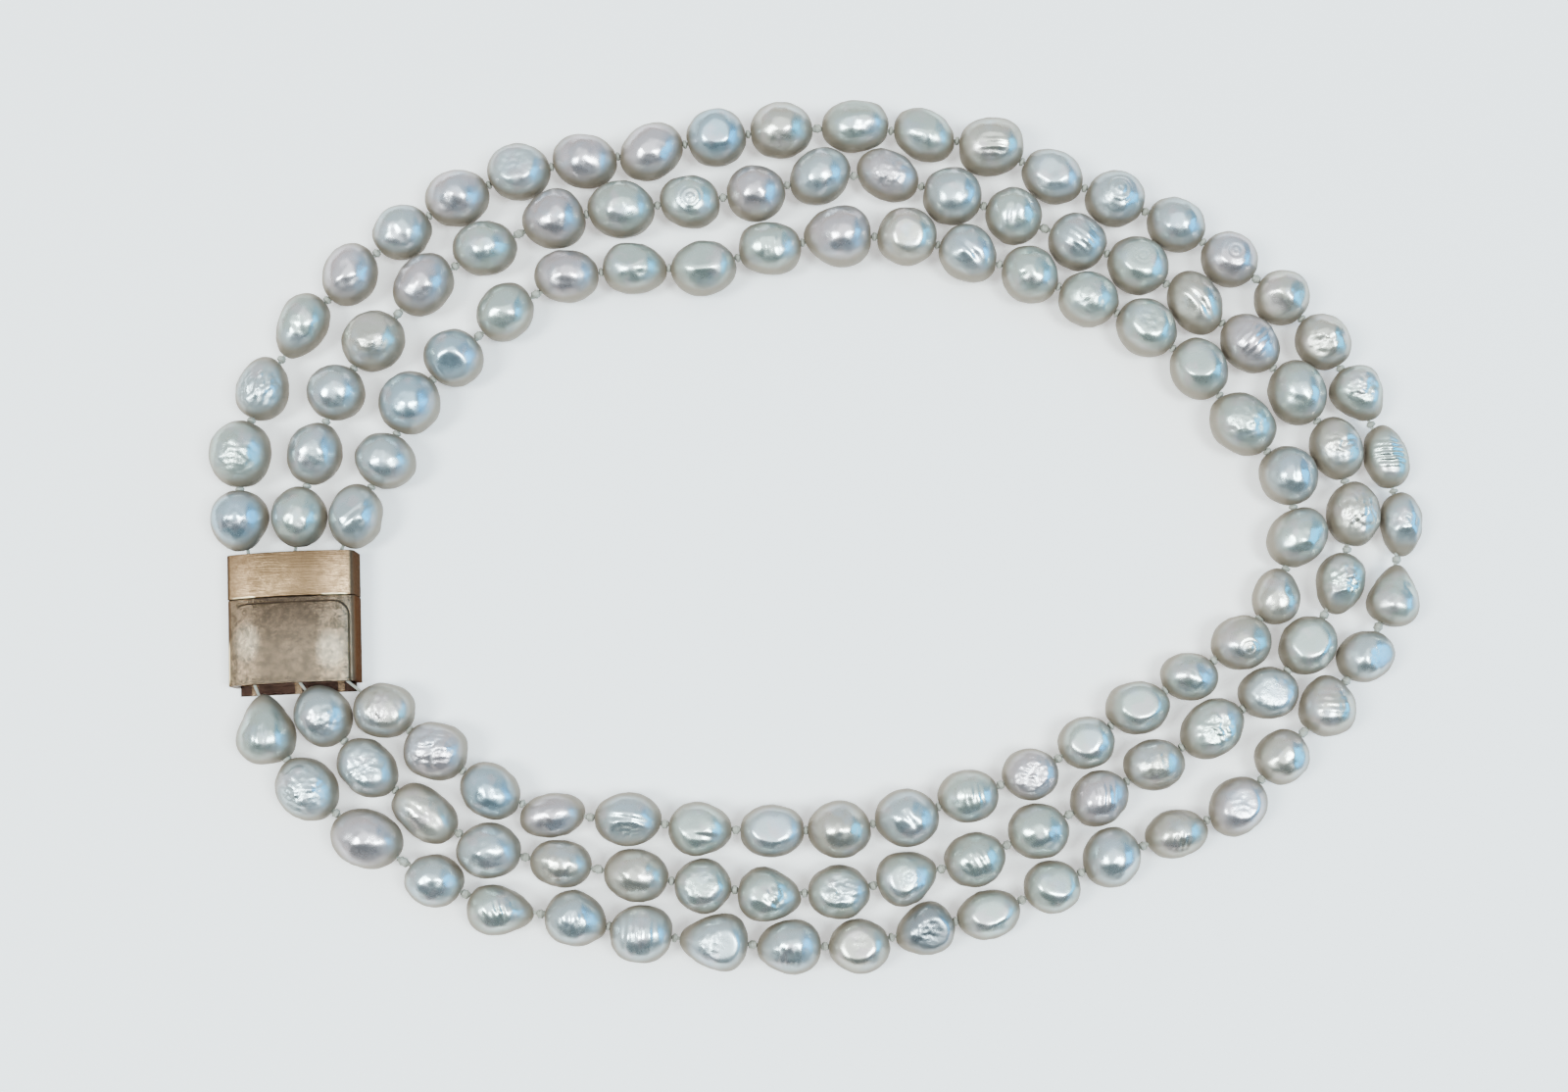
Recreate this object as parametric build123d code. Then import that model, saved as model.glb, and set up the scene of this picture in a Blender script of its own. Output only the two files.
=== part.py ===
"""A three-strand necklace of knotted baroque pearls on one box clasp, lying on a table. Millimetres, +Z up.

The origin is the middle of the floor area that the necklace covers, on the table's surface.
Each strand is a row of drilled pearls with a knot of thread between every two; each end of a
strand is looped through a wire eye inside the clasp.
"""
from build123d import *
import os
from collections import namedtuple
from itertools import combinations
from math import atan2, cos, degrees, hypot, pi, radians, sin

import numpy as np

# Where things lie: the photograph as a plan of the table
PHOTO_MIDDLE = (800.0, 557.0)      # the pixel that the lens looks straight at
FOCAL_LENGTH = 2000.0              # of the lens, in pixels
CAMERA_DISTANCE = 310.0            # from the lens to the plane of the pearls' middles
CAMERA_ELEVATION = 82.0            # degrees above the table
PEARL_PLANE = 4.4                  # height of that plane

# The strands
BEAD_GAP = 0.16                    # the least air between two pearls side by side
KNOT_SPACE = 0.3                   # the least air between two pearls on one thread
KNOT_AIR = 0.08                    # left between a knot and the pearls beside it
KNOT_WIDTH = 1.35                  # a knot where it has room
SUNK_KNOT = 0.72                   # a knot drawn into the mouths of the holes, where it has none
THREAD = 0.55                      # diameter of the doubled thread
DRILLED_HOLE = 0.94
DRILL_SEAMS = (45, 90, 135, 20)    # degrees round the bore
PROFILE_STEPS = 10                 # spans of the spline along a pearl's outline
TIP_ANGLE = 0.13                   # radians short of each pole, where the outline ends in a tiny flat
PEARL_SEAM = -100                  # degrees about the axis: the turned body's seam is underneath
LEAST_CUT = 0.25                   # cubic millimetres that a real bore takes out, per millimetre of pearl
SETTLE_ROUNDS = 60
SETTLED = 0.002

# The clasp
CLASP_X, CLASP_Y = -77.4, -11.5    # its middle, from the point that the lens looks at
CLASP_TURN = 2.8                   # degrees, seen from above
CLASP_WIDTH = 20.0
CLASP_LENGTH = 20.6
CAP_LENGTH = 7.0
SEAM = 0.15
SHOULDER = 5.4                     # height of the side walls
CROWN = 7.2                        # height of the domed face
EDGE_RADIUS = 1.1
FOOT_RADIUS = 0.4
INNER_RADIUS = 0.3
WALL = 0.9
CUT_PAST = 1.0                     # how far a hollow is cut past an open end
PAD_HEIGHT = 0.3                   # the box's polished pad above its rim
PAD_MARGIN = 0.95
PAD_CORNER = 2.2
END_RECESS = 2.6                   # from each end's lip in to the wall that carries the eyes
BACK_LIP = 0.45                    # the back plate reaches out past the box's lower lip
TONGUE = (11.0, 11.6, 0.8)         # width, length and thickness of each leaf of the tongue
TONGUE_GAP = 0.9                   # between its two leaves where it enters
EYE_SPACING = 6.8
EYE_HEIGHT = 3.4
EYE_RADIUS = 0.85                  # of the eye's bend, to the middle of its wire
EYE_WIRE = 0.7
EYE_LEG = 0.35
THREAD_RING = 0.78                 # radius of the thread's loop round an eye's wire

Pearl = namedtuple("Pearl", "x_px y_px long short turn taper full", defaults=(0.0, 2.0))
Pearl.__doc__ = """One pearl: its middle in the photograph, its length and thickness in millimetres, the way
its narrow end points (degrees, counter-clockwise from the photograph's right), how much it narrows, and how
full its shoulders are: 2 is an oval, more is squarer."""

# from the cap round to the box, clockwise in the photograph
OUTER = [Pearl(*row) for row in (
    (244.3, 531.5, 9.9, 9.3, 270, 0.15),
    (245.3, 463.6, 10.9, 10.0, 88),
    (268.5, 396.3, 10.7, 8.5, 78, 0.15),
    (307.6, 333.8, 11.5, 8.1, 245, 0.2),
    (357.5, 280.2, 10.5, 8.9, 72),
    (411.5, 237.8, 9.8, 9.0, 30),
    (470.8, 202.2, 10.7, 9.4, 12),
    (530.0, 178.6, 10.4, 9.5, 0),
    (597.0, 165.6, 10.7, 9.1, -8),
    (663.4, 154.8, 11.1, 9.1, 35),
    (730.3, 140.9, 10.0, 9.7, 0),
    (795.5, 133.3, 10.5, 9.4, 3),
    (872.3, 132.3, 11.2, 8.6, 5, 0, 2.2),
    (942.4, 138.0, 10.9, 8.4, -30),
    (1009.8, 154.6, 10.6, 9.6, 5, 0, 2.4),
    (1072.5, 180.1, 10.6, 8.8, -30),
    (1137.1, 203.6, 9.8, 9.4, 0),
    (1198.5, 231.0, 9.9, 8.9, -30),
    (1252.7, 266.3, 9.6, 9.1, -40),
    (1305.2, 306.6, 9.3, 9.0, 45),
    (1349.2, 350.0, 9.6, 8.8, -55),
    (1386.5, 402.5, 9.6, 8.5, 300, 0.25),
    (1413.0, 466.8, 10.9, 7.1, 102, 0.1),
    (1429.0, 534.5, 10.7, 6.8, 270, 0.1),
    (1422.5, 606.5, 10.2, 8.3, 80, 0.45),
    (1391.0, 669.0, 9.5, 8.1, 25),
    (1351.8, 719.0, 9.8, 9.1, 90, 0.15),
    (1308.0, 772.0, 8.8, 8.4, 45, 0, 2.2),
    (1263.0, 822.5, 10.3, 8.6, 45),
    (1200.0, 850.5, 10.1, 7.7, 12),
    (1133.7, 873.0, 9.7, 9.2, 60),
    (1073.6, 904.8, 9.0, 8.3, 0, 0, 2.2),
    (1008.5, 933.0, 10.2, 7.7, 15),
    (943.0, 949.0, 9.7, 8.4, 200, 0.3),
    (876.0, 962.4, 9.8, 8.5, 0),
    (804.5, 964.7, 10.2, 8.7, 185, 0.15),
    (727.0, 960.3, 11.2, 9.1, 175, 0.4),
    (654.5, 950.3, 9.8, 9.0, 0, 0, 2.3),
    (587.6, 935.7, 10.0, 8.7, -20, 0.15),
    (512.0, 929.0, 11.1, 8.0, -6, 0.35),
    (443.0, 898.5, 9.4, 8.4, -10),
    (375.0, 855.0, 11.8, 9.2, -20),
    (313.0, 804.5, 10.9, 9.3, -45),
    (273.0, 743.5, 11.2, 9.4, 96, 0.4),
)]
MIDDLE = [Pearl(*row) for row in (
    (306.2, 526.5, 9.9, 8.9, 92),
    (321.1, 463.8, 10.3, 8.9, 80),
    (343.0, 400.7, 9.4, 9.3, 0),
    (381.1, 348.1, 10.4, 9.9, 35),
    (431.9, 289.6, 11.1, 9.2, 55),
    (494.0, 251.8, 10.5, 9.1, 5),
    (563.8, 224.3, 10.4, 9.9, 195, 0.12),
    (633.5, 212.7, 11.1, 9.6, -3),
    (704.1, 205.9, 10.1, 8.8, -12),
    (771.3, 197.4, 9.8, 9.4, 0),
    (838.0, 177.5, 10.7, 9.1, 35),
    (905.5, 178.4, 11.0, 8.3, -28),
    (973.1, 198.9, 9.6, 9.5, 0, 0, 2.3),
    (1034.3, 220.0, 9.6, 9.2, -65),
    (1097.8, 247.9, 9.9, 9.2, -40),
    (1160.7, 270.9, 10.2, 9.5, -25),
    (1219.5, 309.7, 11.1, 8.5, -62),
    (1277.2, 349.2, 10.6, 8.9, -48),
    (1324.8, 400.5, 10.8, 9.4, -75),
    (1360.4, 455.4, 10.5, 8.4, -75),
    (1380.0, 524.4, 10.7, 8.5, 88),
    (1367.0, 595.8, 10.4, 7.7, 255, 0.15),
    (1334.4, 658.2, 10.0, 8.9, 50),
    (1296.0, 704.0, 9.6, 8.4, 8),
    (1236.7, 741.3, 11.0, 8.8, 40),
    (1177.0, 780.3, 10.0, 8.2, 12),
    (1122.4, 814.3, 9.7, 8.5, 40),
    (1059.5, 847.6, 9.8, 8.9, 0),
    (994.6, 876.7, 9.8, 8.6, 15),
    (926.0, 894.7, 9.9, 8.6, 20, 0.25),
    (857.0, 913.0, 9.8, 8.6, 0),
    (786.0, 914.5, 10.2, 8.6, -8, 0.25),
    (717.2, 903.5, 9.2, 8.6, -15),
    (649.0, 892.5, 10.5, 8.4, -10),
    (573.0, 881.7, 10.1, 7.5, -8),
    (499.0, 865.5, 10.3, 8.8, -5),
    (431.0, 829.0, 11.5, 7.6, -37, 0, 2.4),
    (376.0, 781.0, 10.8, 8.5, -42),
    (332.0, 731.5, 10.1, 9.0, -60),
)]
INNER = [Pearl(*row) for row in (
    (364.7, 528.5, 10.5, 8.7, 82),
    (392.2, 471.1, 10.0, 9.1, -25),
    (417.4, 413.5, 10.3, 10.0, 80),
    (462.4, 366.0, 9.9, 9.3, -30),
    (515.4, 318.7, 10.1, 9.0, 55),
    (578.6, 280.0, 10.9, 8.8, -3),
    (647.9, 274.1, 10.7, 8.6, -5, 0.15),
    (717.8, 273.5, 10.9, 9.1, 12),
    (785.4, 253.6, 10.3, 8.7, -5, 0, 2.3),
    (854.5, 240.9, 11.3, 10.2, 177, 0.2),
    (927.6, 240.2, 9.9, 9.7, 0),
    (987.4, 257.2, 10.2, 9.1, -45, 0.1),
    (1054.0, 279.5, 9.8, 9.2, -50),
    (1113.8, 304.3, 10.0, 9.2, -10),
    (1171.5, 332.0, 10.4, 9.2, -45),
    (1223.0, 377.0, 10.4, 9.3, -65),
    (1267.5, 431.9, 11.4, 9.6, -39),
    (1316.7, 486.0, 9.8, 9.4, -60),
    (1323.4, 547.0, 10.7, 8.8, 43),
    (1304.0, 609.0, 9.1, 7.7, 85, 0.15),
    (1268.3, 658.0, 9.7, 8.8, 10),
    (1213.0, 692.0, 9.2, 7.8, -5),
    (1161.1, 721.2, 10.3, 8.6, 5),
    (1109.1, 758.9, 9.1, 8.5, 15),
    (1051.4, 790.0, 9.1, 8.5, 0),
    (988.0, 812.4, 9.7, 8.5, 5),
    (925.5, 834.2, 10.2, 9.2, 0),
    (856.6, 846.2, 10.0, 9.1, 0),
    (787.7, 847.6, 10.1, 8.3, 0, 0, 2.2),
    (714.5, 846.2, 10.1, 8.6, -3, 0.1),
    (641.0, 838.2, 10.7, 8.5, -3),
    (563.5, 832.4, 10.7, 7.0, 8),
    (499.0, 808.7, 10.3, 8.5, -38),
    (445.5, 766.5, 10.0, 9.1, -12, 0, 2.4),
    (391.0, 728.0, 9.6, 8.7, -5, 0, 2.4),
)]
STRANDS = {"outer": OUTER, "middle": MIDDLE, "inner": INNER}


def on_table(x_px, y_px, height):
    """The point at that height which the photograph shows at a pixel."""
    tilt = radians(CAMERA_ELEVATION)
    right, down = x_px - PHOTO_MIDDLE[0], y_px - PHOTO_MIDDLE[1]
    lens_y = -CAMERA_DISTANCE * cos(tilt)
    lens_z = PEARL_PLANE + CAMERA_DISTANCE * sin(tilt)
    ray_y = FOCAL_LENGTH * cos(tilt) - down * sin(tilt)
    ray_z = -FOCAL_LENGTH * sin(tilt) - down * cos(tilt)
    reach = (height - lens_z) / ray_z
    return np.array((reach * right, lens_y + reach * ray_y))


# The pearls
def outline(pearl):
    """Half of a pearl's outline: points (along, out) from its broad end to its narrow one."""
    def out(along):
        return (1 - np.abs(along) ** pearl.full) ** (1 / pearl.full) * (1 - pearl.taper * along)

    along = -np.cos(np.linspace(TIP_ANGLE, pi - TIP_ANGLE, PROFILE_STEPS + 1))
    thickest = out(np.linspace(-1, 1, 401)).max()
    lengthwise, crosswise = along / along.max() * pearl.long / 2, out(along) / thickest * pearl.short / 2
    return list(zip(lengthwise, crosswise))


class Lying:
    """A pearl in its place: its middle on the table, its axis, and the rim that it shows from above."""

    gives_way = 1

    def __init__(self, pearl):
        self.pearl = pearl
        self.length = pearl.long
        self.height = pearl.short / 2
        self.middle = on_table(pearl.x_px, pearl.y_px, self.height)
        self.axis = np.array((cos(radians(pearl.turn)), sin(radians(pearl.turn))))
        across = np.array((-self.axis[1], self.axis[0]))
        half = [a * self.axis + o * across for a, o in outline(pearl)]
        self.rim = np.array(half + [a * self.axis - o * across for a, o in outline(pearl)])

    def place(self):
        """Its solid's place on the table."""
        return Pos(*self.middle, self.height) * Rot(0, 0, self.pearl.turn) * Rot(PEARL_SEAM, 0, 0)


class ClaspRim:
    """The clasp as the pearls meet it: a rectangle that stays in its place."""

    gives_way = 0
    length = CLASP_LENGTH

    def __init__(self):
        self.middle = np.array((CLASP_X, CLASP_Y))
        turn = radians(CLASP_TURN)
        along, across = np.array((-sin(turn), cos(turn))), np.array((cos(turn), sin(turn)))
        self.rim = np.array([
            end * CLASP_LENGTH / 2 * along + side * CLASP_WIDTH / 2 * across
            for end in (-1, 1) for side in (-1, 1)
        ])


def air(one, other, spread=pi / 3, ways=25):
    """The air between two rims, the way straight across it, and how far the first rim reaches that way."""
    line = other.middle - one.middle
    heading = atan2(line[1], line[0])
    angles = heading + np.linspace(-spread, spread, ways)
    compass = np.stack((np.cos(angles), np.sin(angles)), axis=1)
    near_side = (one.rim @ compass.T).max(axis=0)
    gaps = compass @ line - near_side - (-other.rim @ compass.T).max(axis=0)
    best = int(gaps.argmax())
    return gaps[best], compass[best], near_side[best]


def settle(strands):
    """Pearls that would touch move apart by as little as leaves the air between them."""
    bodies = [(name, i, pearl) for name, strand in strands.items() for i, pearl in enumerate(strand)]
    bodies.append(("clasp", 0, ClaspRim()))
    near = [
        (one, other, KNOT_SPACE if name == name2 and abs(i - j) == 1 else BEAD_GAP)
        for (name, i, one), (name2, j, other) in combinations(bodies, 2)
        if hypot(*(one.middle - other.middle)) < one.length + other.length
    ]
    for _ in range(SETTLE_ROUNDS):
        worst = 0
        for one, other, wanted in near:
            gap, way, _ = air(one, other)
            if gap < wanted:
                push = way * (wanted - gap) / (one.gives_way + other.gives_way)
                one.middle -= push * one.gives_way
                other.middle += push * other.gives_way
                worst = max(worst, wanted - gap)
        if worst < SETTLED:
            break


def drilled(lying, start, end):
    """The pearl's solid, bored along the thread from one knot to the next and a little past both.

    A bore whose own seam grazes an edge of the pearl cuts nothing, and the next seam takes its place.
    """
    rim = outline(lying.pearl)
    (broad, first), (narrow, last) = rim[0], rim[-1]
    ends = Polyline((narrow, last), (narrow, 0), (broad, 0), (broad, first))
    body = lying.place() * revolve(make_face([Spline(*rim), ends]), Axis.X)
    start, end = Vector(*start), Vector(*end)
    past = (end - start).normalized() * DRILLED_HOLE / 2
    for seam in DRILL_SEAMS:
        bored = body - rod(start - past, end + past, DRILLED_HOLE, seam)
        if bored.volume < body.volume - lying.pearl.long * LEAST_CUT:
            return bored.solid()
    raise ValueError(f"no hole through {lying.pearl}")


# The threads and their knots
def rod(start, end, width, seam=0):
    """A round bar between two points, with its seam turned about it."""
    across = Plane(origin=start, z_dir=end - start)
    return extrude(across * Rot(0, 0, seam) * Circle(width / 2), (end - start).length)


def knots_of(strand):
    """Middle and width of the knot between every two pearls, halfway across the air between them."""
    knots = []
    for one, other in zip(strand, strand[1:]):
        line = other.middle - one.middle
        gap, way, reach = air(one, other)
        place = one.middle + line * (reach + gap / 2) / (line @ way)
        width = min(KNOT_WIDTH, max(SUNK_KNOT, gap - 2 * KNOT_AIR))
        knots.append(((*place, (one.height + other.height) / 2), width))
    return knots


def stops_of(strand, knots, eyes):
    """The points that the thread runs straight between: its loops at both ends and every knot."""
    places = [place for place, _ in knots]
    return [ring_exit(eyes[0], strand[0])] + places + [ring_exit(eyes[1], strand[-1])]


def thread(strand, knots, eyes):
    """The thread with its knots, and a loop round the wire of the clasp's eye at each end."""
    stops = stops_of(strand, knots, eyes)
    pieces = [rod(Vector(*a), Vector(*b), THREAD) for a, b in zip(stops, stops[1:])]
    for before, (place, width), after in zip(stops, knots, stops[2:]):
        heading = degrees(atan2(after[1] - before[1], after[0] - before[0]))
        pieces.append(Pos(*place) * Rot(0, 0, heading + 90) * Sphere(width / 2))
    pieces += [Pos(*eye) * Torus(THREAD_RING, THREAD / 2) for eye in eyes]
    whole = pieces[0]
    for piece in pieces[1:]:
        whole += piece
    return whole


def ring_exit(eye, pearl):
    """Where the thread leaves its loop for the first pearl."""
    way = pearl.middle - np.array(eye[:2])
    out = np.array(eye[:2]) + way / hypot(*way) * THREAD_RING
    return (*out, eye[2])


# The clasp's two halves
def section(inset=0.0, lower=0.0):
    """The clasp's cross-section: flat back, upright walls and a domed face; inset makes the hollow."""
    half, floor = CLASP_WIDTH / 2 - inset, inset
    shoulder, crown = SHOULDER - inset - lower, CROWN - inset - lower
    walls = [
        Line((-half, floor), (half, floor)),
        Line((half, floor), (half, shoulder)),
        ThreePointArc((half, shoulder), (0, crown), (-half, shoulder)),
        Line((-half, shoulder), (-half, floor)),
    ]
    face = make_face(walls)
    top = [corner for corner in face.vertices() if corner.Y > SHOULDER / 2]
    face = fillet(top, max(EDGE_RADIUS - inset, INNER_RADIUS))
    foot = [corner for corner in face.vertices() if corner.Y < SHOULDER / 2]
    return fillet(foot, FOOT_RADIUS)


def length_of(face, start, end):
    """A cross-section drawn out along the clasp from one station to another."""
    upright = Plane(origin=(0, start, 0), x_dir=(1, 0, 0), z_dir=(0, -1, 0))
    return extrude(upright * face, end - start, dir=(0, 1, 0))


def eye(x, wall, outward):
    """A wire eye that stands on an end wall, with its legs let into it."""
    bend = wall + outward * EYE_LEG
    low, high = EYE_HEIGHT - EYE_RADIUS, EYE_HEIGHT + EYE_RADIUS
    root = wall - outward * WALL / 2
    run = Wire([
        Line((x, root, low), (x, bend, low)),
        ThreePointArc((x, bend, low), (x, bend + outward * EYE_RADIUS, EYE_HEIGHT), (x, bend, high)),
        Line((x, bend, high), (x, root, high)),
    ])
    start = Plane(origin=(x, root, low), z_dir=(0, outward, 0))
    return sweep(start * Circle(EYE_WIRE / 2), path=run)


def eye_places(wall, outward):
    """The middle of each eye's wire where it turns furthest out, in the clasp's own axes."""
    tip = wall + outward * (EYE_LEG + EYE_RADIUS)
    return [(x, tip, EYE_HEIGHT) for x in (-EYE_SPACING, 0, EYE_SPACING)]


def clasp_box():
    """The lower part: a hollow box, open at the seam, with a raised pad on its face and eyes in its end."""
    low, high = -CLASP_LENGTH / 2, CLASP_LENGTH / 2 - CAP_LENGTH - SEAM
    wall = low + END_RECESS
    shell = length_of(section(lower=PAD_HEIGHT), low, high)
    pad_width, pad_length = CLASP_WIDTH - 2 * PAD_MARGIN, high - PAD_MARGIN - low
    rounded, square = RectangleRounded(pad_width, pad_length, PAD_CORNER), Rectangle(pad_width, PAD_CORNER)
    pad = Pos(0, low + pad_length / 2, SHOULDER / 2) * extrude(rounded, CROWN)
    square_end = Pos(0, low + PAD_CORNER / 2, SHOULDER / 2) * extrude(square, CROWN)
    shell += length_of(section(), low, high) & (pad + square_end)
    hollow = section(inset=WALL + PAD_HEIGHT)
    shell -= length_of(hollow, wall + WALL, high + CUT_PAST)
    shell -= length_of(hollow, low - CUT_PAST, wall)
    back = Box(CLASP_WIDTH - 2 * WALL, BACK_LIP + 2 * WALL, WALL)
    shell += Pos(0, low - BACK_LIP / 2, WALL / 2) * back
    return shell + [eye(x, wall, -1) for x, _, _ in eye_places(wall, -1)]


def clasp_cap():
    """The upper part: a cap with eyes in its end, and the tongue of two leaves that catches in the box."""
    low, high = CLASP_LENGTH / 2 - CAP_LENGTH, CLASP_LENGTH / 2
    wall = high - END_RECESS
    hollow = section(inset=WALL)
    shell = length_of(section(), low, high) - length_of(hollow, wall, high + CUT_PAST)
    shell -= length_of(hollow, low - CUT_PAST, wall - WALL)
    shell += [eye(x, wall, 1) for x, _, _ in eye_places(wall, 1)]
    width, length, leaf = TONGUE
    root = wall - WALL
    half = TONGUE_GAP / 2
    middle = CROWN / 2 - PAD_HEIGHT
    held, tip = root + WALL / 2, root - length
    side = make_face(Polyline(
        (held, middle - half - leaf), (tip, middle - leaf), (tip - leaf / 2, middle),
        (tip, middle + leaf), (held, middle + half + leaf), (held, middle + half),
        (tip + leaf, middle), (held, middle - half),
        close=True,
    ))
    upright = Plane(origin=(-width / 2, 0, 0), x_dir=(0, 1, 0), z_dir=(1, 0, 0))
    return shell + extrude(upright * side, width)


# The whole necklace
def build():
    on_the_table = Pos(CLASP_X, CLASP_Y, 0) * Rot(0, 0, CLASP_TURN)
    strands = {name: [Lying(pearl) for pearl in pearls] for name, pearls in STRANDS.items()}
    settle(strands)

    def in_place(point):
        return tuple((on_the_table * Pos(*point)).position)

    cap_eyes = eye_places(CLASP_LENGTH / 2 - END_RECESS, 1)
    box_eyes = eye_places(-CLASP_LENGTH / 2 + END_RECESS, -1)
    nodes = {"clasp_box": [on_the_table * clasp_box()], "clasp_cap": [on_the_table * clasp_cap()]}
    for (name, strand), at_cap, at_box in zip(strands.items(), cap_eyes, box_eyes):
        eyes = in_place(at_cap), in_place(at_box)
        knots = knots_of(strand)
        nodes[f"thread_{name}"] = [thread(strand, knots, eyes)]
        stops = stops_of(strand, knots, eyes)
        pearls = [drilled(*bead) for bead in zip(strand, stops, stops[1:])]
        half = len(pearls) // 2
        nodes[f"pearls_{name}_a"] = pearls[:half]
        nodes[f"pearls_{name}_b"] = pearls[half:]
    return nodes


nodes = build()
boxes = [solid.bounding_box() for solids in nodes.values() for solid in solids]
low = [min(getattr(box.min, axis) for box in boxes) for axis in "XYZ"]
high = [max(getattr(box.max, axis) for box in boxes) for axis in "XYZ"]
to_origin = Pos(-(low[0] + high[0]) / 2, -(low[1] + high[1]) / 2, -low[2])

os.makedirs("parts", exist_ok=True)
for name, solids in nodes.items():
    placed = [to_origin * solid for solid in solids]
    whole = placed[0] if len(placed) == 1 else Compound(children=placed)
    export_step(whole, f"parts/{name}.step")
print("moved by", tuple(to_origin.position), "size", [round(b - a, 2) for a, b in zip(low, high)])
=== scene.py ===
"""The finish of a three-strand necklace of knotted baroque pearls on a rose-gold box clasp.

Lengths in the tables are millimetres and are turned into metres where a mesh is made.
"""

from collections import namedtuple
from math import atan2, cos, pi, radians, sin, sqrt, tau
from random import Random

import bmesh
import bpy
import numpy as np
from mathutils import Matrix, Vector, noise
from mathutils.bvhtree import BVHTree


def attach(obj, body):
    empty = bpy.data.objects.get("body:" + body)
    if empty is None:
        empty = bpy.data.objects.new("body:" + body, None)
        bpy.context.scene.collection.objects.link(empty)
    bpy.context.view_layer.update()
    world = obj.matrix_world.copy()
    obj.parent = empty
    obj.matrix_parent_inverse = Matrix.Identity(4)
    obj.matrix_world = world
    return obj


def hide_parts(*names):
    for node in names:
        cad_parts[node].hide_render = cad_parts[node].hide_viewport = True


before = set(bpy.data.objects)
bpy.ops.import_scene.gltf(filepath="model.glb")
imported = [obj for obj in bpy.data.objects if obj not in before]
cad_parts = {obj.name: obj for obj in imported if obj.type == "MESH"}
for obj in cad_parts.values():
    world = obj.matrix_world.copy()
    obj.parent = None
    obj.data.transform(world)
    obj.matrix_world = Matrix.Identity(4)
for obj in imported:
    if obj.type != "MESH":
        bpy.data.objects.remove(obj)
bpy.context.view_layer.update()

MM = 0.001

# The camera, as the photograph was taken
AIM = (-5.033, -3.463, 4.4)        # the point that the lens looks straight at
CAMERA_DISTANCE = 310.0
CAMERA_ELEVATION = 82.0
LENS, SENSOR = 45.0, 36.0

# The clasp's place on the table
CLASP_MIDDLE = (-82.433, -14.963)
CLASP_TURN = 2.8
CLASP_LENGTH = 20.6
CLASP_HALF_WIDTH = 10.0
SEAM_Y = 3.3                       # the cap's edge at the seam
PAD_TOP, PAD_HALF_WIDTH = 2.2, 9.05
PAD_CORNER = 2.2
END_RECESS = 2.6
EYE_REACH = 1.2                    # from the end wall to the middle of the wire's bend
EYE_SPACING = 6.8
EYE_HEIGHT = 3.4
EYE_LOOP = 0.78                    # radius of the thread's loop round an eye's wire

# Pearls and thread
PEARL_SUBDIVISIONS = 5
EVENING_PASSES = 8                # that take the facets out of the solid's skin
LUMP_SIZE = 0.75                   # of the broad unevenness, against the pearl's own size
LUMP_DEPTH = 0.2
RIPPLES, RIPPLE_DEPTH = 0.75, 0.035
# How upright the way out from a pearl's middle is where the flank's painted shade begins, and where it is
# full
FLANK_TOP, FLANK_FULL = 0.92, 0.22
HOLE_WIDTH = 0.8
HOLE_DIP = 0.12
STRAND_WIDTH = 0.3                 # one of the two silk strands
SILK_APART = 0.26
KNOT_ACROSS = 1.6
KNOT_ALONG = 2.3
KNOT_SQUEEZED = 0.8                # the length of a knot with no room
KNOT_BITE = 0.5                    # how much longer a knot is than the air that shows from above
KNOT_TURNS, KNOT_STEPS = 2.6, 22
KNOT_CORE = 0.44                   # radius of its solid heart, against its thickness
TWIST_STEPS = 6                    # from knot to knot, in which the two strands turn half round
LOOP_STEPS = 10
SILK_WIDTH = 0.50                  # of the silk where it is tied in a knot

# The marks on the pearls. Lengths are in halves of a pearl's width, but the depths are millimetres.
MARK_REACH = 1.12                  # how far past its size a mark fades out
FACE_CUT = 0.8                     # how deep a flat face cuts, against its size
FACE_EDGE = 0.12                   # how softly it meets the rest, in millimetres
RING_SPACING = 0.5                 # against the size of the mark
RIDGE_SPACING, RIDGE_WANDER = 0.24, 0.05
CREASE_WIDTH, CREASE_BOW = 0.11, 0.12
WRINKLE_SPACING = (1.6, 3.0, 2.0)  # wrinkles a unit along, across and out
WRINKLE_BROAD, WRINKLE_FINE = (1.4, 0.65), (2.6, 0.35)
DINTS = 6
FULL_DEPTH = 1.5                   # makes up for the parts of a net that stay shallow

Relief = namedtuple("Relief", "pearl form east north size turn depth", defaults=(0.0, 0.15))
Relief.__doc__ = """One mark on a pearl, as seen from above: its place to the east and north of the middle,
its size, the way it runs in degrees and how deep it goes."""

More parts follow.
